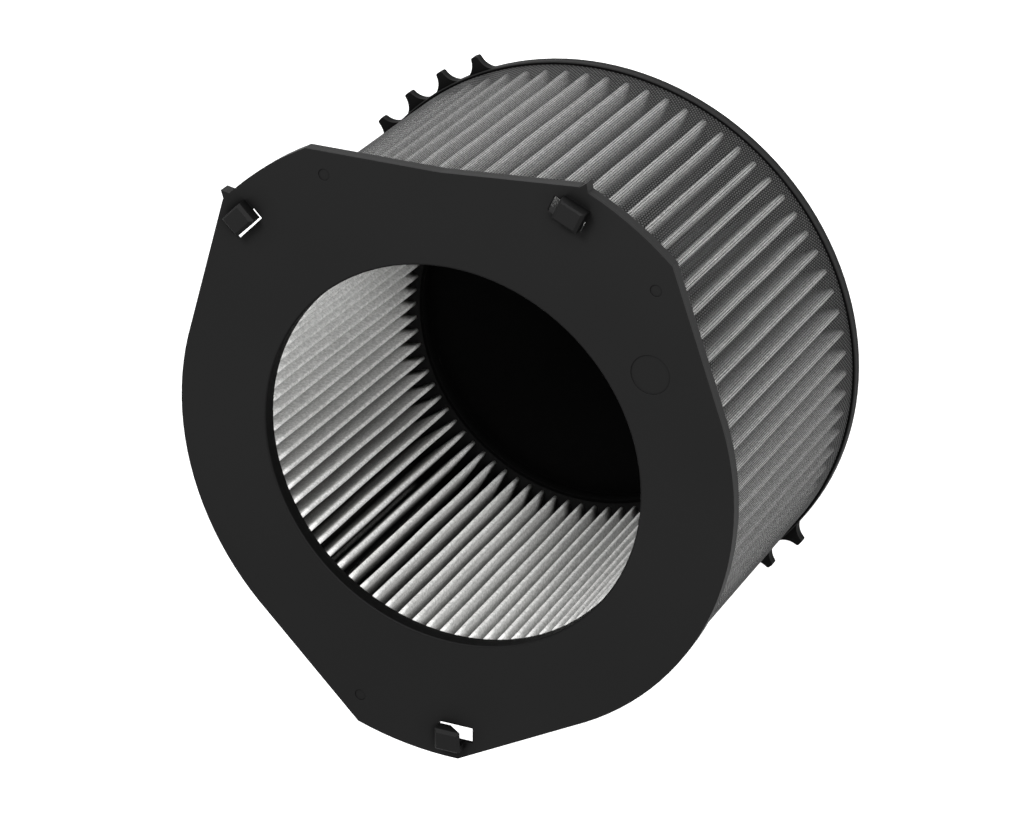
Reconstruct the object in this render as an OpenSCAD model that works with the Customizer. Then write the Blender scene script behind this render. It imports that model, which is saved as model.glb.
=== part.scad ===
// Round pleated air filter cartridge.
// It stands on its closed rear cap, with the air outlet facing up.
// The axis of the cartridge is the Z axis, and Z is zero at the resting face.

/* [Overall] */
// Height from the resting face to the front face of the outlet plate
total_h = 147; // [90:1:220]

/* [Pleated medium] */
// Diameter over the outer folds of the pleats
medium_d = 245; // [220:0.2:268]
// Number of pleats round the cartridge
pleat_count = 80; // [60:1:90]
// Thickness of the pleated sheet
sheet_t = 0.6; // [0.4:0.05:0.8]
// Radius of the sheet's outer side at an outer fold
outer_fold_r = 1.4; // [1.1:0.1:1.8]
// Radius of the sheet's outer side at an inner fold
inner_fold_r = 1; // [0.9:0.1:1.4]
// How far the inner folds stand inside the wall of the outlet
fold_reveal = 2.4; // [1:0.1:4]
// Direction of one outer fold, in degrees
pleat_phase = 0.93; // [0:0.01:4.5]

/* [Net sleeve] */
// Gap between the outer folds and the net
net_gap = 0.6; // [0.3:0.05:0.8]
// Thickness of the net's wall
net_t = 0.35; // [0.3:0.05:0.6]
// Height of the upright thread ridges on the wall
thread_rise = 0.25; // [0.15:0.05:0.4]
// Height of the hoop ridges on the wall
hoop_rise = 0.2; // [0.1:0.05:0.4]
// Width of a thread ridge
thread_w = 0.6; // [0.4:0.1:1]
// Number of meshes round the sleeve
mesh_columns = 24; // [16:1:24]
// Number of meshes along the sleeve
mesh_rows = 5; // [3:1:5]
// Width of the strand between two meshes
strand_w = 4; // [3:0.5:6]

/* [Outlet plate] */
// Diameter of the air outlet
outlet_d = 170; // [150:1:176]
// Chamfer on the front edge of the outlet
outlet_chamfer = 0.5; // [0.2:0.1:1]
// Thickness of the plate
plate_t = 2; // [1.6:0.1:3]
// Wall of the collar behind the outlet
collar_t = 2; // [1.5:0.1:3]
// How far the collar reaches behind the plate
collar_h = 2.6; // [2:0.1:5]
// Wall of the ring round the net
ring_t = 0.7; // [0.6:0.1:2]
// Gap between the net and the ring round it
ring_gap = 0.1; // [0.1:0.1:1]
// How far the ring and the skirt reach behind the plate
skirt_h = 3.8; // [3:0.1:8]
// Wall of the skirt along the plate's edge
skirt_t = 1.2; // [1:0.1:1.2]
// How far the skirt is set back from the plate's edge
skirt_inset = 0.1; // [0.1:0.05:0.2]
// How far the plate reaches past the ring round the net
plate_rim = 0.8; // [0.6:0.1:1.2]

/* [Lobes] */
// Directions of the three lobes of the plate, in degrees
lobe_angles = [65, 135, 270]; // [0:1:359]
// How far the lobes reach past the round part of the plate
lobe_rise = 15.7; // [14:0.1:24]
// Half of the angle that the end of a lobe spans
lobe_half_angle = 9.8; // [8:0.1:14]
// How far a corner nub stands out of its lobe
nub_rise = 3.3; // [2:0.1:5]
// Angle that a corner nub spans
nub_angle = 1.8; // [1:0.1:3]
// Number of lobes, from the first, that have a corner nub
nub_lobes = 2; // [0:1:3]

/* [Bayonet hooks] */
// Angle from the middle of a lobe to its hook, in degrees
hook_turn = 8.5; // [4:0.1:9]
// Length of a hook along the turning direction
hook_l = 11.7; // [9:0.1:14]
// Width of a hook's overhang from the stem to its free edge
hook_reach = 6.6; // [5:0.1:7]
// Thickness of a hook's stem
stem_t = 2.9; // [2:0.1:3.5]
// Height of a hook above the plate
hook_h = 6.1; // [5:0.1:8]
// Length of the flat underside of a hook
hook_flat_l = 5.3; // [4:0.1:7]
// Height of a hook's underside at its open end
hook_mouth_h = 4.7; // [3:0.1:4.8]
// Bevel on the upper edges of a hook
hook_bevel = 1.3; // [0.5:0.1:2]
// Length of the slot under a hook
slot_l = 16; // [13:0.1:18]
// Width of the slot under a hook
slot_w = 7.4; // [6:0.1:9]
// How far the slot reaches past the closed end of the hook
slot_lead = 0.5; // [0.2:0.1:1]
// Width of the seat that the closed end of the hook has on the plate
slot_seat = 2.3; // [1:0.1:4]

/* [Moulding marks] */
// Radius of the small ejector marks on the lobes
mark_r = 2.5; // [1.5:0.1:4]
// Angle from the middle of a lobe to its ejector mark, in degrees
mark_turn = -11.1; // [-12:0.1:-6]
// Radius of the large round mark on the plate's face
gate_r = 8.4; // [5:0.1:10]
// Direction of the large round mark, in degrees
gate_angle = 40.4; // [25:0.1:50]
// Distance of the large round mark from the axis
gate_dist = 104; // [98:0.5:110]
// Depth of the marks
mark_depth = 0.3; // [0.1:0.1:0.6]

/* [Rear cap] */
// Width of the flange round the net
flange_w = 1.3; // [0.8:0.1:6]
// Thickness of the flange
flange_t = 5; // [3:0.1:8]
// Chamfer on the edges of the flange
flange_chamfer = 0.4; // [0.2:0.1:0.8]
// Thickness of the closed floor
floor_t = 2.4; // [1.8:0.1:4]
// Height of the walls that hold the adhesive
trough_h = 9; // [6:0.1:14]
// Thickness of the walls that hold the adhesive
trough_t = 1.6; // [1.2:0.1:2.5]
// Gap between the inner wall of the trough and the inner folds
dam_gap = 1.6; // [0.5:0.1:4]
// Gap between the outer wall of the trough and the net
cup_gap = 0.2; // [0.1:0.1:0.4]

/* [Grip teeth] */
// Directions of the two groups of teeth, in degrees
grip_angles = [136.4, 316.6]; // [0:0.1:360]
// Number of teeth in a group
grip_teeth = 4; // [2:1:8]
// Angle from one tooth to the next
grip_pitch = 8.5; // [7:0.1:12]
// Width of a tooth at its tip
tip_w = 3.4; // [2.6:0.1:5]
// Rounding of a tooth's corners
tip_round = 0.9; // [0.4:0.1:1.2]
// How far the teeth stand out of the flange
tooth_rise = 7; // [5:0.1:8]
// Thickness of the teeth
tooth_h = 4; // [3:0.1:9]
// Width of the rib that carries the teeth on the flange
tooth_root = 1.4; // [1:0.1:2]

/* [Adhesive] */
// Thickness of the adhesive behind the outlet plate
front_glue_t = 2.6; // [2:0.1:5]

/* [Hidden] */
$fn = 96;
// Overlap that joins shapes of one piece, and that cutters run past a face
eps = 0.1;
outlet_r = outlet_d / 2;
medium_r = medium_d / 2;
net_in_r = medium_r + net_gap;
net_out_r = net_in_r + net_t + thread_rise;
ring_in_r = net_out_r + ring_gap;
ring_out_r = ring_in_r + ring_t;
plate_r = ring_out_r + plate_rim;
lobe_r = plate_r + lobe_rise;
// Heights of the plate's back, of the medium's front end and of its rear end
plate_z = total_h - plate_t;
medium_top_z = plate_z - front_glue_t;
medium_z = trough_h;
// Radii of the inner folds, of the inner trough wall and of the outer one
fold_in_r = outlet_r - fold_reveal;
dam_out_r = fold_in_r - dam_gap;
cup_out_r = net_in_r - cup_gap;
flange_r = net_out_r + flange_w;
// A lobe's straight flanks cut just into the round part, nearly as tangents
flank_sink = 0.05;
flank_spare = 2;
flank_r = plate_r - flank_sink;
flank_angle = lobe_half_angle + acos(flank_r / lobe_r);
// Distances of the slot and the hook from the axis
slot_in_r = ring_out_r;
slot_out_r = slot_in_r + slot_w;
plastic = [0.15, 0.15, 0.155];
fleece = [0.88, 0.88, 0.86];
net_grey = [0.3, 0.3, 0.3];
glue_grey = [0.06, 0.06, 0.06];

function polar(r, a) = [r * cos(a), r * sin(a)];
function arc_points(centre, r, from, to, steps) =
    [for (i = [0:steps]) centre + polar(r, from + (to - from) * i / steps)];

// Tube between two radii
module tube(inner_r, outer_r, z, h) {
    translate([0, 0, z])
        difference() {
            cylinder(r = outer_r, h = h);
            translate([0, 0, -eps])
                cylinder(r = inner_r, h = h + 2 * eps);
        }
}

// Outline of the plate with its three lobes, drawn smaller by inset
module plate_outline(inset) {
    foot_r = flank_r - inset;
    end_r = lobe_r - inset;
    // The flanks run past the corners, and the arc of the lobe cuts them there
    flank_l = sqrt(end_r * end_r - foot_r * foot_r) + flank_spare;
    circle(r = plate_r - inset);
    intersection() {
        circle(r = end_r);
        for (a = lobe_angles)
            polygon([
                [0, 0],
                polar(foot_r, a - flank_angle),
                polar(foot_r, a - flank_angle) + polar(flank_l, a - flank_angle + 90),
                polar(end_r + lobe_rise, a),
                polar(foot_r, a + flank_angle) + polar(flank_l, a + flank_angle - 90),
                polar(foot_r, a + flank_angle)
            ]);
    }
}

// Small pointed nub at the leading corner of a lobe
module corner_nub(lobe_angle) {
    corner = lobe_angle + lobe_half_angle;
    polygon([
        polar(lobe_r - nub_rise, corner + nub_angle / 3),
        polar(lobe_r + nub_rise, corner - nub_angle / 2),
        polar(lobe_r - nub_rise, corner - 3 * nub_angle / 2)
    ]);
}

// Slot through the plate, under the overhang of a hook
module hook_slot() {
    near_y = -hook_flat_l - slot_lead;
    translate([0, 0, plate_z - eps])
        linear_extrude(plate_t + 2 * eps)
            polygon([
                [slot_in_r, near_y],
                [slot_out_r - slot_seat, near_y],
                [slot_out_r - slot_seat, slot_lead - hook_flat_l],
                [slot_out_r, slot_lead - hook_flat_l],
                [slot_out_r, near_y + slot_l],
                [slot_in_r, near_y + slot_l]
            ]);
}

// Hook along X outwards and Y in the turning direction, standing on Z zero
module hook() {
    free_x = slot_out_r - hook_reach;
    back_x = slot_out_r + stem_t;
    nose_y = hook_l - hook_flat_l;
    intersection() {
        // Outline along the turning direction, with the ramp under the nose
        translate([back_x, 0, 0])
            rotate([90, 0, -90])
                linear_extrude(back_x - free_x)
                    polygon([
                        [hook_flat_l, -eps],
                        [hook_flat_l, hook_h - hook_bevel],
                        [hook_flat_l - hook_bevel, hook_h],
                        [hook_bevel - nose_y, hook_h],
                        [-nose_y, hook_h - hook_bevel],
                        [-nose_y, -eps]
                    ]);
        union() {
            translate([back_x, 0, 0])
                rotate([90, 0, -90])
                    linear_extrude(back_x - free_x)
                        polygon([
                            [hook_flat_l, 0],
                            [hook_flat_l, hook_h],
                            [-nose_y, hook_h],
                            [-nose_y, hook_mouth_h],
                            [0, 0]
                        ]);
            translate([slot_out_r, -hook_flat_l, -eps])
                cube([stem_t, hook_l, hook_h + eps]);
        }
        // Outline across the hook, with the bevel on its free edge
        translate([0, nose_y, 0])
            rotate([90, 0, 0])
                linear_extrude(hook_l)
                    polygon([
                        [free_x, -eps],
                        [free_x, hook_h - hook_bevel],
                        [free_x + hook_bevel, hook_h],
                        [back_x - hook_bevel / 2, hook_h],
                        [back_x, hook_h - hook_bevel / 2],
                        [back_x, -eps]
                    ]);
    }
}

// Moulded plate with the outlet collar, the skirt, the ring and the hooks
module outlet_plate() {
    color(plastic) {
        difference() {
            union() {
                translate([0, 0, plate_z])
                    linear_extrude(plate_t)
                        plate_outline(0);
                translate([0, 0, plate_z - skirt_h])
                    linear_extrude(skirt_h + eps)
                        difference() {
                            plate_outline(skirt_inset);
                            plate_outline(skirt_inset + skirt_t);
                        }
                tube(ring_in_r, ring_out_r, plate_z - skirt_h, skirt_h + eps);
                tube(outlet_r, outlet_r + collar_t, plate_z - collar_h, collar_h + eps);
                translate([0, 0, plate_z - skirt_h])
                    linear_extrude(skirt_h + plate_t)
                        for (i = [0:1:nub_lobes - 1])
                            corner_nub(lobe_angles[i]);
            }
            translate([0, 0, plate_z - eps])
                cylinder(r = outlet_r, h = plate_t + 2 * eps);
            translate([0, 0, total_h - outlet_chamfer])
                cylinder(
                    r1 = outlet_r,
                    r2 = outlet_r + outlet_chamfer + eps,
                    h = outlet_chamfer + eps
                );
            for (a = lobe_angles) {
                rotate([0, 0, a + hook_turn])
                    hook_slot();
                rotate([0, 0, a + mark_turn])
                    translate([slot_in_r + slot_w / 2, 0, total_h - mark_depth])
                        cylinder(r = mark_r, h = mark_depth + eps);
            }
            rotate([0, 0, gate_angle])
                translate([gate_dist, 0, total_h - mark_depth])
                    cylinder(r = gate_r, h = mark_depth + eps);
        }
        for (a = lobe_angles)
            rotate([0, 0, a + hook_turn])
                translate([0, 0, total_h])
                    hook();
    }
}

// Points of one side of the folded sheet, with the radius of that side at
// the outer folds and at the inner folds
function sheet_side(at_outer, at_inner, outer_steps, inner_steps) =
    let (
        half_pitch = 180 / pleat_count,
        outer_c = medium_r - outer_fold_r,
        inner_c = fold_in_r + inner_fold_r,
        // From the centre of an outer fold to that of the next inner fold
        step = polar(inner_c, half_pitch) - [outer_c, 0],
        wall_tilt = asin((outer_fold_r + inner_fold_r - sheet_t) / norm(step)),
        turn = atan2(step[1], step[0]) - 90 + wall_tilt
    )
    [for (k = [0:pleat_count - 1])
        let (a = pleat_phase + 2 * half_pitch * k)
        each concat(
            arc_points(polar(outer_c, a), at_outer, a - turn, a + turn, outer_steps),
            arc_points(
                polar(inner_c, a + half_pitch), at_inner,
                a + turn + 180, a + 2 * half_pitch - turn + 180, inner_steps
            )
        )
    ];

// One sheet folded into a ring of pleats
module pleated_medium() {
    color(fleece)
        translate([0, 0, medium_z])
            linear_extrude(medium_top_z - medium_z)
                difference() {
                    polygon(sheet_side(outer_fold_r, inner_fold_r - sheet_t, 5, 3));
                    polygon(sheet_side(outer_fold_r - sheet_t, inner_fold_r, 3, 5));
                }
}

// Bar across the sleeve's wall, as wide as w and as far out as far_r, in plan
module wall_bar(w, far_r) {
    intersection() {
        difference() {
            circle(r = far_r);
            circle(r = net_in_r);
        }
        translate([0, -w / 2])
            square([far_r, w]);
    }
}

// What is left open between the strands of one row of meshes, in plan
module mesh_row() {
    difference() {
        circle(r = net_out_r + eps);
        circle(r = net_in_r - eps);
        for (i = [0:mesh_columns - 1])
            rotate(360 * i / mesh_columns)
                translate([0, -strand_w / 2])
                    square([net_out_r + 1, strand_w]);
    }
}

// Net round the pleats: one wall with thread ridges and open meshes
module net_sleeve() {
    wall_r = net_in_r + net_t;
    sleeve_h = medium_top_z - flange_t;
    row_pitch = (sleeve_h - strand_w) / mesh_rows;
    color(net_grey)
        translate([0, 0, flange_t]) {
            difference() {
                linear_extrude(sleeve_h) {
                    difference() {
                        circle(r = wall_r);
                        circle(r = net_in_r);
                    }
                    for (i = [0:mesh_columns - 1])
                        rotate(360 * i / mesh_columns)
                            wall_bar(thread_w, net_out_r);
                }
                for (i = [0:mesh_rows - 1])
                    translate([0, 0, row_pitch * i + strand_w])
                        linear_extrude(row_pitch - strand_w)
                            mesh_row();
            }
            for (i = [0:mesh_rows])
                tube(
                    net_in_r + net_t / 2, wall_r + hoop_rise,
                    row_pitch * i + (strand_w - thread_w) / 2, thread_w
                );
        }
}

// Ring of adhesive that holds the front end of the medium
module front_adhesive() {
    color(glue_grey)
        tube(outlet_r + collar_t, ring_in_r, medium_top_z, front_glue_t);
}

// Ring of adhesive that holds the rear end of the medium
module rear_adhesive() {
    color(glue_grey)
        tube(dam_out_r, cup_out_r - trough_t, floor_t, trough_h - floor_t);
}

// Group of teeth with round gullets between them, in plan
module tooth_group() {
    half_sin = sin(grip_pitch / 2);
    // The gullets end inside the flange's edge, half way into the rib
    gullet_end_r = flange_r - tooth_root / 2;
    gullet_r = (gullet_end_r * half_sin - tip_w / 2) / (1 - half_sin);
    tip_r = flange_r + tooth_rise;
    span = grip_teeth * grip_pitch / 2;
    difference() {
        intersection() {
            difference() {
                circle(r = tip_r);
                circle(r = flange_r - tooth_root);
            }
            polygon([
                [0, 0],
                polar(2 * tip_r, -span),
                polar(2 * tip_r, span)
            ]);
        }
        for (i = [0:grip_teeth])
            rotate(i * grip_pitch - span)
                translate([gullet_end_r + gullet_r, 0])
                    circle(r = gullet_r);
        for (i = [0:grip_teeth - 1])
            rotate((i + 0.5) * grip_pitch - span)
                for (side = [-1, 1])
                    scale_side(side)
                        tip_corner(tip_r);
    }
}

// The shape as it is, or mirrored across the X axis
module scale_side(side) {
    mirror([0, side > 0 ? 0 : 1])
        children();
}

// What is cut off one corner of a tooth to round it
module tip_corner(tip_r) {
    translate([tip_r - tip_round, tip_w / 2 - tip_round])
        difference() {
            square(2 * tip_round);
            circle(r = tip_round);
        }
}

// Closed moulded cap with the flange, the adhesive trough and the grip teeth
module rear_cap() {
    cup_in_r = cup_out_r - trough_t;
    dam_in_r = dam_out_r - trough_t;
    color(plastic) {
        rotate_extrude()
            polygon([
                [0, 0],
                [flange_r - flange_chamfer, 0],
                [flange_r, flange_chamfer],
                [flange_r, flange_t - flange_chamfer],
                [flange_r - flange_chamfer, flange_t],
                [cup_out_r, flange_t],
                [cup_out_r, trough_h],
                [cup_in_r, trough_h],
                [cup_in_r, floor_t],
                [dam_out_r, floor_t],
                [dam_out_r, trough_h],
                [dam_in_r, trough_h],
                [dam_in_r, floor_t],
                [0, floor_t]
            ]);
        for (a = grip_angles)
            rotate([0, 0, a])
                linear_extrude(tooth_h)
                    tooth_group();
    }
}

outlet_plate();
pleated_medium();
net_sleeve();
front_adhesive();
rear_adhesive();
rear_cap();
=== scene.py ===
"""Looks of a round pleated air filter cartridge: a dark moulded plate and cap,
white fleece pleats and a fine woven net. All lengths are in metres."""

import math
import random

import bpy
from mathutils import Matrix, Vector


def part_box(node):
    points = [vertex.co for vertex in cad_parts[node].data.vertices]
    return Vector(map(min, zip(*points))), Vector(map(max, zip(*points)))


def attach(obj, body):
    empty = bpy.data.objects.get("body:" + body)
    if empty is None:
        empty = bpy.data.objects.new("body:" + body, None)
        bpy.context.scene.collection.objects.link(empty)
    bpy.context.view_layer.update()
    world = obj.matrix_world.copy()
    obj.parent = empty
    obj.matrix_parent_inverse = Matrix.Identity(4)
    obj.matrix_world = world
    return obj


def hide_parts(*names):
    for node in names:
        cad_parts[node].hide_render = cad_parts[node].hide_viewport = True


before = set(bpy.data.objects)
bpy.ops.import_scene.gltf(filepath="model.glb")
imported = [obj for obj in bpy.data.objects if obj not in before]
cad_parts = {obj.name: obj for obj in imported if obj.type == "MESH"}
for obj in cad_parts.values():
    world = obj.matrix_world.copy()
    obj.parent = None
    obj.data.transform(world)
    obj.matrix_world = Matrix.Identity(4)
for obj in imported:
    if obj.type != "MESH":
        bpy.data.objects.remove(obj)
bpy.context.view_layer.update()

# Camera, fitted to the photograph: place, aim on the plate's face, focal length
# and sensor width in millimetres, the direction on the plate that shows upright,
# the shift, and the nearest and farthest distance that is drawn
CAMERA_AT = Vector((0.4785, 0.7238, 1.3444))
CAMERA_AIM = Vector((0.0242, 0.0303, 0.1470))
CAMERA_LENS = 126.914
CAMERA_SENSOR = 36
CAMERA_UP_ANGLE = 98.58
CAMERA_SHIFT = 0.001
CAMERA_REACH = (0.05, 30)

# Lamps: name, azimuth and elevation in degrees, distance, diameter, and power in
# watts. All of them face one point on the axis.
LAMPS = [("key", 115, 46, 1.6, 0.6, 21), ("fill", 40, 50, 2.2, 0.9, 34)]
LAMP_AIM = Vector((0, 0, 0.08))
WORLD_STRENGTH = 0.55

# Floor: half of its side, its grey, and how strongly it glows where it is seen
# directly, in a reflection or through glass
FLOOR_HALF = 6.0
FLOOR_GREY = 0.8
FLOOR_GLOW = 0.6

# Pleats: the first outer fold's direction is in degrees
PLEATS = 80
PLEAT_PHASE = 1.1
# The folds aren't spaced evenly: harmonic, size and phase in degrees of the drift
PLEAT_DRIFT = [(1, 0.98, 153), (2, 0.61, 63)]
# How far the inner folds' front ends stand inside the outlet's wall, and how
# deep these ends are set in adhesive
FOLD_TUCK = 0.0004
POTTING_DEPTH = 0.0019
SHEET_T = 0.0006
OUTER_FOLD_R = 0.0014
INNER_FOLD_R = 0.0010
FOLD_STEPS = 8
PLEAT_LEVELS = 18
# Sideways wander of each fold: its size, the number of waves that it is made of,
# the length of a wave in radians, and the least and most that a wave's height,
# its rate and the shift of the whole fold may be
PLEAT_SWAY = 0.00022
SWAY_WAVES = 3
SWAY_TURN = 6.28
SWAY_HEIGHTS = (0.4, 1.0)
SWAY_RATES = (0.6, 2.6)
SWAY_SHIFTS = (-0.6, 0.6)

# Net: a plain weave of threads along the cartridge and hoops round it, drawn as
# straight threads whose over and under show only as painted light and shade. Each
# thread's outer face is narrower than its base, and the hoops stand further out.
UPRIGHTS = 748
NET_PITCH = 0.00103
THREAD_W = 0.00030
THREAD_T = 0.00007
THREAD_TOP = 0.6
HOOP_LIFT = 0.7
FIRST_UPRIGHT = 0.25

# Straight steps in a full circle
ROUND_STEPS = 180

# Plastics: shade, specular level, and the share of the shade left by painted shade
# on faces that look along the axis
PLATE_PLASTIC = {"shade": 0.0086, "specular": 0.095}
CAP_PLASTIC = {"shade": 0.029, "specular": 0.045, "painted_top_share": 0.16}
PLASTIC_SPREAD = 0.07
EDGE_ROUNDING = 0.0004
# Painted shade makes the collar nearly black, as in the bore's shade, up to this far beyond
# the outlet's wall
PAINTED_SHADE_MARGIN = 0.0003
# Share of the colour that painted shade leaves inside the bore and on the cap's floor
PAINTED_CORE_SHARE = 0.15

# How near other surfaces are that darken the plastic and the fleece with painted shade
CORNER_PAINTED_SHADE_REACH = 0.012
VALLEY_PAINTED_SHADE_REACH = 0.020

# Fleece: darkest and lightest colour of its mottle, and the painted shade by distance
# from the axis that darkens it between its folds, where the outer folds are at 1
FLEECE_DARK = (0.56, 0.56, 0.55)
FLEECE_LIGHT = (0.88, 0.88, 0.865)
FLEECE_PAINTED_DEPTH_SHADE = [(0.80, 0.84), (0.86, 0.15), (0.90, 0.15), (0.968, 1.0)]


def polar(radius, degrees, z=0.0):
    a = math.radians(degrees)
    return Vector((radius * math.cos(a), radius * math.sin(a), z))


def radius_of(node):
    """Largest distance from the axis of a CAD node."""
    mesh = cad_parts[node].data
    return max(math.hypot(v.co.x, v.co.y) for v in mesh.vertices)


def least_radius_of(node):
    """Smallest distance from the axis of a CAD node."""
    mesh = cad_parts[node].data
    return min(math.hypot(v.co.x, v.co.y) for v in mesh.vertices)


def new_mesh(name, points, faces, smooth=True):
    mesh = bpy.data.meshes.new(name)
    mesh.from_pydata(points, [], faces)
    mesh.update()
    piece = bpy.data.objects.new(name, mesh)
    bpy.context.collection.objects.link(piece)
    for face in mesh.polygons:
        face.use_smooth = smooth
    return piece


# Materials
def grey(value):
    return (value, value, value)


class Nodes:
    """Node tree of a new material, with short calls for the nodes in use."""

    def __init__(self, name):
        self.material = bpy.data.materials.new(name)
        self.material.use_nodes = True
        self.tree = self.material.node_tree
        self.shader = self.tree.nodes["Principled BSDF"]

    def add(self, kind, **settings):
        node = self.tree.nodes.new(kind)
        for key, value in settings.items():
            setattr(node, key, value)
        return node

    def link(self, output, socket):
        self.tree.links.new(output, socket)

    def position(self):
        return self.add("ShaderNodeTexCoord").outputs["Object"]

    def noise(self, scale, detail, roughness=0.55, stretch=(1, 1, 1)):
        mapping = self.add("ShaderNodeMapping")
        mapping.inputs["Scale"].default_value = stretch
        self.link(self.position(), mapping.inputs["Vector"])
        noise = self.add("ShaderNodeTexNoise")
        noise.inputs["Scale"].default_value = scale
        noise.inputs["Detail"].default_value = detail
        noise.inputs["Roughness"].default_value = roughness
        self.link(mapping.outputs["Vector"], noise.inputs["Vector"])
        return noise.outputs["Fac"]

    def ramp(self, value, stops):
        """Colour by a value, from pairs of place and colour."""
        ramp = self.add("ShaderNodeValToRGB")
        elements = ramp.color_ramp.elements
        while len(elements) < len(stops):
            elements.new(0.5)
        for element, (place, colour) in zip(elements, stops):
            element.position = place
            element.color = (*colour, 1)
        self.link(value, ramp.inputs["Fac"])
        return ramp.outputs["Color"]

    def grey_ramp(self, value, stops):
        """Grey by a value, from pairs of place and shade."""
        return self.ramp(value, [(place, grey(shade)) for place, shade in stops])

    def bump(self, height, strength, distance, normal=None):
        bump = self.add("ShaderNodeBump")
        bump.inputs["Strength"].default_value = strength
        bump.inputs["Distance"].default_value = distance
        self.link(height, bump.inputs["Height"])
        if normal is not None:
            self.link(normal, bump.inputs["Normal"])
        return bump.outputs["Normal"]

    def rounded_edges(self, radius):
        bevel = self.add("ShaderNodeBevel", samples=6)
        bevel.inputs["Radius"].default_value = radius
        return bevel.outputs["Normal"]

    def calculate(self, operation, first, second=None):
        """Result of a Math node, from sockets or numbers."""
        node = self.add("ShaderNodeMath", operation=operation)
        for socket, value in zip(node.inputs, (first, second)):
            if isinstance(value, bpy.types.NodeSocket):
                self.link(value, socket)
            elif value is not None:
                socket.default_value = value
        return node.outputs[0]

    def multiply(self, first, second):
        """Product of two colours."""
        mix = self.add("ShaderNodeMix", data_type="RGBA", blend_type="MULTIPLY")
        # The colour sockets of a Mix node come after its number and vector ones
        mix.inputs[0].default_value = 1.0
        self.link(first, mix.inputs[6])
        self.link(second, mix.inputs[7])
        return mix.outputs[2]

    def painted_nook_shade(self, reach, dark_at, full_at, least=0.0):
        """Painted shade: white in the open, down to least where surfaces within reach close
        in.
        """
        near = self.add("ShaderNodeAmbientOcclusion", samples=8)
        near.inputs["Distance"].default_value = reach
        return self.grey_ramp(near.outputs["AO"], [(dark_at, least), (full_at, 1.0)])

    def from_axis(self, most):
        """Distance from the Z axis, as a share of most."""
        flat = self.add("ShaderNodeVectorMath", operation="MULTIPLY")
        flat.inputs[1].default_value = (1 / most, 1 / most, 0)
        self.link(self.position(), flat.inputs[0])
        length = self.add("ShaderNodeVectorMath", operation="LENGTH")
        self.link(flat.outputs[0], length.inputs[0])
        return length.outputs["Value"]

    def painted_core_shade(self, radius):
        """Painted shade: nearly black within a distance of the Z axis, and white beyond it.
        """
        share = self.from_axis(2 * radius)
        return self.grey_ramp(share, [(0.499, PAINTED_CORE_SHARE), (0.501, 1.0)])

    def upright(self, least):
        """Painted shade: white on walls, down to least on faces that look along the Z axis.
        """
        axes = self.add("ShaderNodeSeparateXYZ")
        self.link(self.add("ShaderNodeTexCoord").outputs["Normal"], axes.inputs[0])
        return self.grey_ramp(axes.outputs["Z"], [(0.5, 1.0), (0.95, least)])

    def weave(self, low_z, pitch):
        """1 where an upright of the plain weave is on top, and 0 where it is under."""
        axes = self.add("ShaderNodeSeparateXYZ")
        self.link(self.position(), axes.inputs[0])
        angle = self.calculate("ARCTAN2", axes.outputs["Y"], axes.outputs["X"])
        turn = self.calculate("SUBTRACT", angle, math.radians(FIRST_UPRIGHT))
        across = self.calculate("COSINE", self.calculate("MULTIPLY", turn, UPRIGHTS / 2))
        rise = self.calculate("SUBTRACT", axes.outputs["Z"], low_z + pitch / 2)
        along = self.calculate("COSINE", self.calculate("MULTIPLY", rise, math.pi / pitch))
        crossing = self.calculate("MULTIPLY", across, along)
        half = self.calculate("MULTIPLY", crossing, 0.5)
        return self.calculate("ADD", half, 0.5)

    def finish(self, colour, roughness, specular, normal=None):
        """The material, with its colour and normal linked and the rest set."""
        self.link(colour, self.shader.inputs["Base Color"])
        self.shader.inputs["Roughness"].default_value = roughness
        self.shader.inputs["Specular IOR Level"].default_value = specular
        if normal is not None:
            self.link(normal, self.shader.inputs["Normal"])
        return self.material


def moulded_plastic(name, painted_shade_within, shade, specular, painted_top_share=1.0):
    """Dark plastic with a fine grain and softly rounded edges. Painted shade makes its
    colour darker close to other surfaces, and nearly black within a distance of the
    axis, as in the bore's shade. Faces that look along the axis get painted shade too,
    down to a given share of the walls' colour."""
    m = Nodes(name)
    low, high = shade * (1 - PLASTIC_SPREAD), shade * (1 + PLASTIC_SPREAD)
    colour = m.grey_ramp(m.noise(scale=9.0, detail=2.0), [(0.3, low), (0.7, high)])
    # Painted shade in corners, where other surfaces come near
    colour = m.multiply(colour, m.painted_nook_shade(CORNER_PAINTED_SHADE_REACH, dark_at=0.45, full_at=0.95))
    # Painted shade, nearly black, inside the bore and on the cap's floor within its adhesive
    # ring
    colour = m.multiply(colour, m.painted_core_shade(painted_shade_within))
    if painted_top_share < 1:
        # Painted shade on faces that look along the axis, such as the fronts of the cap's
        # teeth
        colour = m.multiply(colour, m.upright(painted_top_share))
    grain = m.noise(scale=2600.0, detail=2.0)
    edges = m.rounded_edges(EDGE_ROUNDING)
    normal = m.bump(grain, strength=0.16, distance=0.0001, normal=edges)
    return m.finish(colour, roughness=0.62, specular=specular, normal=normal)


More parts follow.
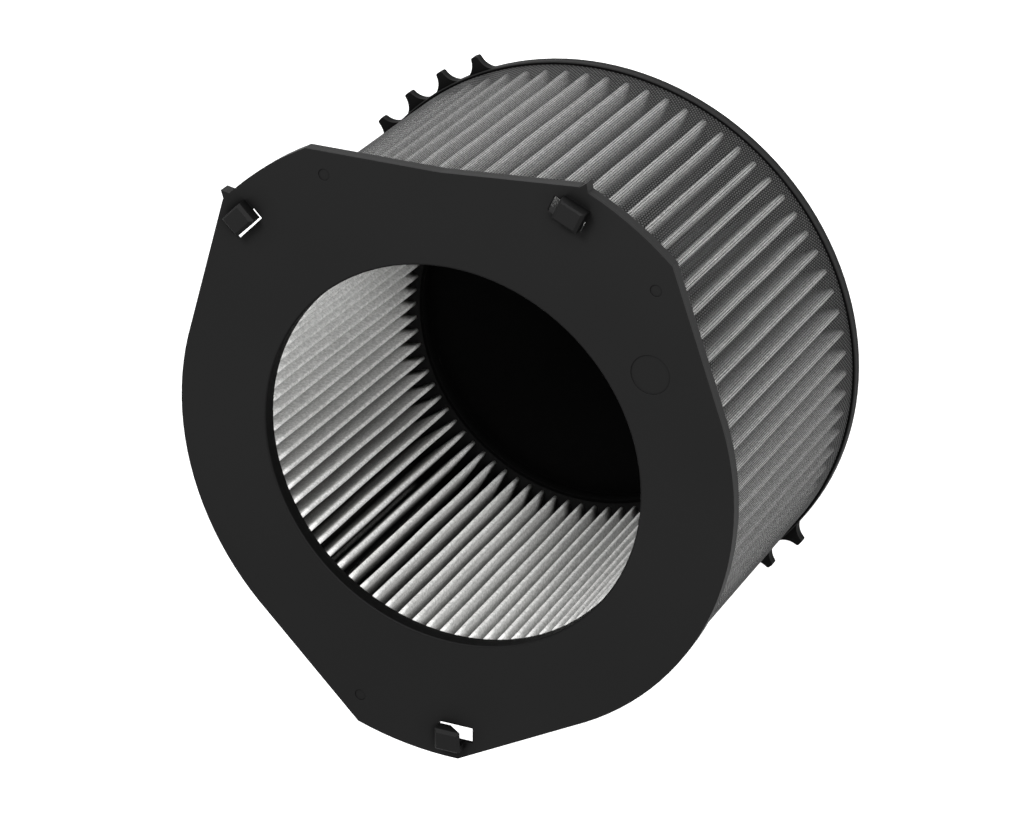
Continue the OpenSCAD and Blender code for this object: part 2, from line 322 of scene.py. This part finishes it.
def fleece(crest_r):
    """White fibre fleece: matt, slightly mottled, with fine matted fibres. Painted shade
    darkens it between its folds, most of all on the way in from the outer crests."""
    m = Nodes("fleece")
    mottle = m.noise(scale=800.0, detail=5.0, roughness=0.75)
    colour = m.ramp(mottle, [(0.40, FLEECE_DARK), (0.60, FLEECE_LIGHT)])
    # Painted shade where the folds close in
    painted_valley_shade = m.painted_nook_shade(VALLEY_PAINTED_SHADE_REACH, dark_at=0.02, full_at=0.20, least=0.22)
    colour = m.multiply(colour, painted_valley_shade)
    # Painted shade by distance from the axis, darkest deep between the folds
    colour = m.multiply(colour, m.grey_ramp(m.from_axis(crest_r), FLEECE_PAINTED_DEPTH_SHADE))
    fibres = m.noise(scale=900.0, detail=4.0, roughness=0.7, stretch=(1, 1, 0.35))
    normal = m.bump(fibres, strength=0.35, distance=0.0003)
    return m.finish(colour, roughness=0.95, specular=0.1, normal=normal)


def net_thread(low_z, pitch):
    """Grey plastic thread with a painted highlight at the crossings where an upright runs
    over a hoop, and painted shade at those where it dives under one."""
    m = Nodes("net_thread")
    colour = m.grey_ramp(m.noise(scale=420.0, detail=2.0), [(0.3, 0.078), (0.7, 0.096)])
    # Painted highlight where an upright runs over a hoop, and painted shade where it dives
    # under
    over = m.grey_ramp(m.weave(low_z, pitch), [(0.30, 0.10), (0.70, 1.0)])
    return m.finish(m.multiply(colour, over), roughness=0.5, specular=0.07)


def adhesive():
    """Black cured adhesive with a slightly wavy skin."""
    m = Nodes("adhesive")
    skin = m.noise(scale=60.0, detail=2.0)
    colour = m.grey_ramp(skin, [(0.3, 0.004), (0.7, 0.007)])
    normal = m.bump(skin, strength=0.2, distance=0.001)
    return m.finish(colour, roughness=0.55, specular=0.06, normal=normal)


def finish_node(node, material):
    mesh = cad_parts[node].data
    mesh.materials.clear()
    mesh.materials.append(material)


# Pleated medium
def fold_sway(rng):
    """A gentle sideways wander along one fold, as a function of its height."""
    waves = [
        (rng.uniform(*SWAY_HEIGHTS), rng.uniform(*SWAY_RATES), rng.uniform(0, SWAY_TURN))
        for _ in range(SWAY_WAVES)
    ]
    shift = rng.uniform(*SWAY_SHIFTS)

    def sway(t):
        heights = (a * math.sin(f * SWAY_TURN * t + p) for a, f, p in waves)
        return shift + sum(heights) / SWAY_WAVES

    return sway


def spaced(angle):
    """The direction of a fold that would stand at this angle if all were even."""
    return angle + sum(
        size * math.sin(math.radians(n * angle + phase)) for n, size, phase in PLEAT_DRIFT
    )


def pleat_level(z, t, crest_r, fold_r, outer_sway, inner_sway):
    """Paired points of the sheet's two sides, all round, at one height."""
    half = 180 / PLEATS
    front, back = [], []
    for k in range(PLEATS):
        crest_at = PLEAT_PHASE + 2 * half * k
        next_sway = outer_sway[(k + 1) % PLEATS](t)
        crest_c = polar(crest_r - OUTER_FOLD_R, spaced(crest_at) + outer_sway[k](t))
        fold_c = polar(fold_r + INNER_FOLD_R, spaced(crest_at + half) + inner_sway[k](t))
        last_c = polar(fold_r + INNER_FOLD_R, spaced(crest_at - half) + inner_sway[k - 1](t))
        next_c = polar(crest_r - OUTER_FOLD_R, spaced(crest_at + 2 * half) + next_sway)
        tilt = math.asin((OUTER_FOLD_R + INNER_FOLD_R - SHEET_T) / (fold_c - crest_c).length)
        down = math.atan2(*(fold_c - crest_c).yx) - math.pi / 2 + tilt
        up = math.atan2(*(crest_c - last_c).yx) - math.pi / 2 - tilt
        onward = math.atan2(*(next_c - fold_c).yx) - math.pi / 2 - tilt
        for i in range(FOLD_STEPS + 1):
            a = up + (down - up) % (2 * math.pi) * i / FOLD_STEPS
            ray = Vector((math.cos(a), math.sin(a), 0))
            front.append(crest_c + ray * OUTER_FOLD_R)
            back.append(crest_c + ray * (OUTER_FOLD_R - SHEET_T))
        for i in range(FOLD_STEPS + 1):
            a = down + math.pi - (down - onward) % (2 * math.pi) * i / FOLD_STEPS
            ray = Vector((math.cos(a), math.sin(a), 0))
            front.append(fold_c + ray * (INNER_FOLD_R - SHEET_T))
            back.append(fold_c + ray * INNER_FOLD_R)
    lift = Vector((0, 0, z))
    return [p + lift for p in front] + [p + lift for p in back]


def make_pleats():
    """The sheet, folded all round, with a wall between its sides at each end."""
    rng = random.Random(7)
    low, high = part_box("pleated_medium")
    crest_r = radius_of("pleated_medium")
    fold_r = least_radius_of("pleated_medium")
    front_fold_r = least_radius_of("outlet_plate") - FOLD_TUCK
    front_z = high.z - POTTING_DEPTH
    outer = [fold_sway(rng) for _ in range(PLEATS)]
    inner = [fold_sway(rng) for _ in range(PLEATS)]
    outer_deg = math.degrees(PLEAT_SWAY / crest_r)
    inner_deg = math.degrees(PLEAT_SWAY / fold_r)
    outer_sway = [lambda t, f=f: outer_deg * f(t) for f in outer]
    inner_sway = [lambda t, f=f: inner_deg * f(t) for f in inner]
    points, faces = [], []
    for level in range(PLEAT_LEVELS):
        t = level / (PLEAT_LEVELS - 1)
        z = low.z + (front_z - low.z) * t
        level_fold_r = fold_r + (front_fold_r - fold_r) * t
        points += pleat_level(z, t, crest_r, level_fold_r, outer_sway, inner_sway)
    ring = len(points) // PLEAT_LEVELS
    side = ring // 2
    top = ring * (PLEAT_LEVELS - 1)
    for i in range(side):
        j = (i + 1) % side
        for level in range(PLEAT_LEVELS - 1):
            a = ring * level
            b = a + ring
            faces.append((a + i, a + j, b + j, b + i))
            faces.append((a + side + j, a + side + i, b + side + i, b + side + j))
        faces.append((j, i, side + i, side + j))
        faces.append((top + i, top + j, top + side + j, top + side + i))
    piece = new_mesh("pleats", points, faces)
    piece.data.materials.append(fleece(crest_r))
    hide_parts("pleated_medium")
    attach(piece, "root")


def make_potting(material):
    """Ring of adhesive that the front ends of the pleats are set in."""
    high_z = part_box("pleated_medium")[1].z
    low_z = high_z - POTTING_DEPTH
    inner_r, outer_r = least_radius_of("outlet_plate"), radius_of("pleated_medium")
    loop = [(inner_r, low_z), (outer_r, low_z), (outer_r, high_z), (inner_r, high_z)]
    points, faces = [], []
    for i in range(ROUND_STEPS):
        points += [polar(r, 360 * i / ROUND_STEPS, z) for r, z in loop]
        a, b = 4 * i, 4 * ((i + 1) % ROUND_STEPS)
        faces += [(a + c, b + c, b + (c + 1) % 4, a + (c + 1) % 4) for c in range(4)]
    piece = new_mesh("front_potting", points, faces, smooth=False)
    piece.data.materials.append(material)
    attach(piece, "root")


# Net sleeve
def make_uprights(material, low_z, high_z, inner_r):
    """Threads along the cartridge, each a thin straight bar."""
    half = math.degrees(THREAD_W / 2 / inner_r)
    top_half = half * THREAD_TOP
    points, faces = [], []
    for k in range(UPRIGHTS):
        at = FIRST_UPRIGHT + 360 * k / UPRIGHTS
        first = len(points)
        for z in (low_z, high_z):
            points += [
                polar(inner_r, at - half, z),
                polar(inner_r + THREAD_T, at - top_half, z),
                polar(inner_r + THREAD_T, at + top_half, z),
                polar(inner_r, at + half, z),
            ]
        for i in range(4):
            j = (i + 1) % 4
            faces.append((first + i, first + j, first + 4 + j, first + 4 + i))
        faces.append((first + 3, first + 2, first + 1, first))
        faces.append((first + 4, first + 5, first + 6, first + 7))
    piece = new_mesh("net_uprights", points, faces, smooth=False)
    piece.data.materials.append(material)
    return piece


def make_hoops(material, low_z, count, pitch, inner_r):
    """Threads round the cartridge."""
    half = THREAD_W / 2
    top_half = half * THREAD_TOP
    points, faces = [], []
    for k in range(count):
        z = low_z + (k + 0.5) * pitch
        first = len(points)
        for i in range(ROUND_STEPS):
            at = 360 * i / ROUND_STEPS
            points += [
                polar(inner_r, at, z - half),
                polar(inner_r + THREAD_T, at, z - top_half),
                polar(inner_r + THREAD_T, at, z + top_half),
                polar(inner_r, at, z + half),
            ]
        for i in range(ROUND_STEPS):
            a = first + 4 * i
            b = first + 4 * ((i + 1) % ROUND_STEPS)
            for c in range(4):
                d = (c + 1) % 4
                faces.append((a + c, b + c, b + d, a + d))
    piece = new_mesh("net_hoops", points, faces, smooth=False)
    piece.data.materials.append(material)
    return piece


def make_net():
    low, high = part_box("net_sleeve")
    inner_r = radius_of("net_sleeve") - 2 * THREAD_T
    count = round((high.z - low.z) / NET_PITCH)
    pitch = (high.z - low.z) / count
    thread = net_thread(low.z, pitch)
    uprights = make_uprights(thread, low.z, high.z, inner_r)
    hoops = make_hoops(thread, low.z, count, pitch, inner_r + THREAD_T * HOOP_LIFT)
    for piece in (uprights, hoops):
        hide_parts("net_sleeve")
        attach(piece, "root")


# Surroundings
def make_floor():
    """Pale floor that shows white and keeps the object's shadow."""
    corners = [
        (x * FLOOR_HALF, y * FLOOR_HALF, 0) for x, y in ((-1, -1), (1, -1), (1, 1), (-1, 1))
    ]
    floor = new_mesh("floor", corners, [(0, 1, 2, 3)], smooth=False)
    m = Nodes("pale_floor")
    m.shader.inputs["Base Color"].default_value = (*grey(FLOOR_GREY), 1)
    m.shader.inputs["Roughness"].default_value = 1.0
    m.shader.inputs["Specular IOR Level"].default_value = 0.0
    rays = m.add("ShaderNodeLightPath").outputs
    beyond = m.calculate("MAXIMUM", rays["Is Glossy Ray"], rays["Is Transmission Ray"])
    seen = m.calculate("MAXIMUM", rays["Is Camera Ray"], beyond)
    m.shader.inputs["Emission Color"].default_value = (1, 1, 1, 1)
    glow = m.calculate("MULTIPLY", seen, FLOOR_GLOW)
    m.link(glow, m.shader.inputs["Emission Strength"])
    floor.data.materials.append(m.material)


def place_round(azimuth, elevation, distance):
    """Place round the cartridge, azimuth counter-clockwise from +X."""
    flat = polar(distance * math.cos(math.radians(elevation)), azimuth)
    return flat + Vector((0, 0, distance * math.sin(math.radians(elevation))))


def area_light(name, at, size, power):
    """Round lamp that faces the cartridge."""
    light = bpy.data.lights.new(name, "AREA")
    light.shape = "DISK"
    light.size = size
    light.energy = power
    lamp = bpy.data.objects.new(name, light)
    bpy.context.collection.objects.link(lamp)
    lamp.location = at
    lamp.rotation_mode = "QUATERNION"
    lamp.rotation_quaternion = (LAMP_AIM - at).to_track_quat("-Z", "Y")


def make_lights():
    world = bpy.data.worlds.new("studio")
    bpy.context.scene.world = world
    world.use_nodes = True
    background = world.node_tree.nodes["Background"]
    background.inputs["Color"].default_value = (1, 1, 1, 1)
    background.inputs["Strength"].default_value = WORLD_STRENGTH
    for name, azimuth, elevation, distance, size, power in LAMPS:
        area_light(name, place_round(azimuth, elevation, distance), size, power)


def make_camera():
    camera = bpy.data.cameras.new("camera")
    camera.lens = CAMERA_LENS
    camera.sensor_width = CAMERA_SENSOR
    camera.sensor_fit = "HORIZONTAL"
    camera.shift_y = CAMERA_SHIFT
    camera.clip_start, camera.clip_end = CAMERA_REACH
    shot = bpy.data.objects.new("camera", camera)
    bpy.context.collection.objects.link(shot)
    back = (CAMERA_AT - CAMERA_AIM).normalized()
    right = polar(1, CAMERA_UP_ANGLE).cross(back).normalized()
    up = back.cross(right)
    turn = Matrix((right, up, back)).transposed()
    shot.matrix_world = Matrix.Translation(CAMERA_AT) @ turn.to_4x4()
    bpy.context.scene.camera = shot


make_camera()
# Painted shade reaches out to these radii: just beyond the outlet's wall, and the cap's
# adhesive ring
plate_painted_shade_r = least_radius_of("outlet_plate") + PAINTED_SHADE_MARGIN
cap_painted_shade_r = radius_of("rear_adhesive")
finish_node("outlet_plate", moulded_plastic("plate_plastic", plate_painted_shade_r, **PLATE_PLASTIC))
finish_node("rear_cap", moulded_plastic("cap_plastic", cap_painted_shade_r, **CAP_PLASTIC))
glue = adhesive()
finish_node("front_adhesive", glue)
finish_node("rear_adhesive", glue)
make_pleats()
make_potting(glue)
make_net()
make_floor()
make_lights()
bpy.context.scene.view_settings.view_transform = "Standard"
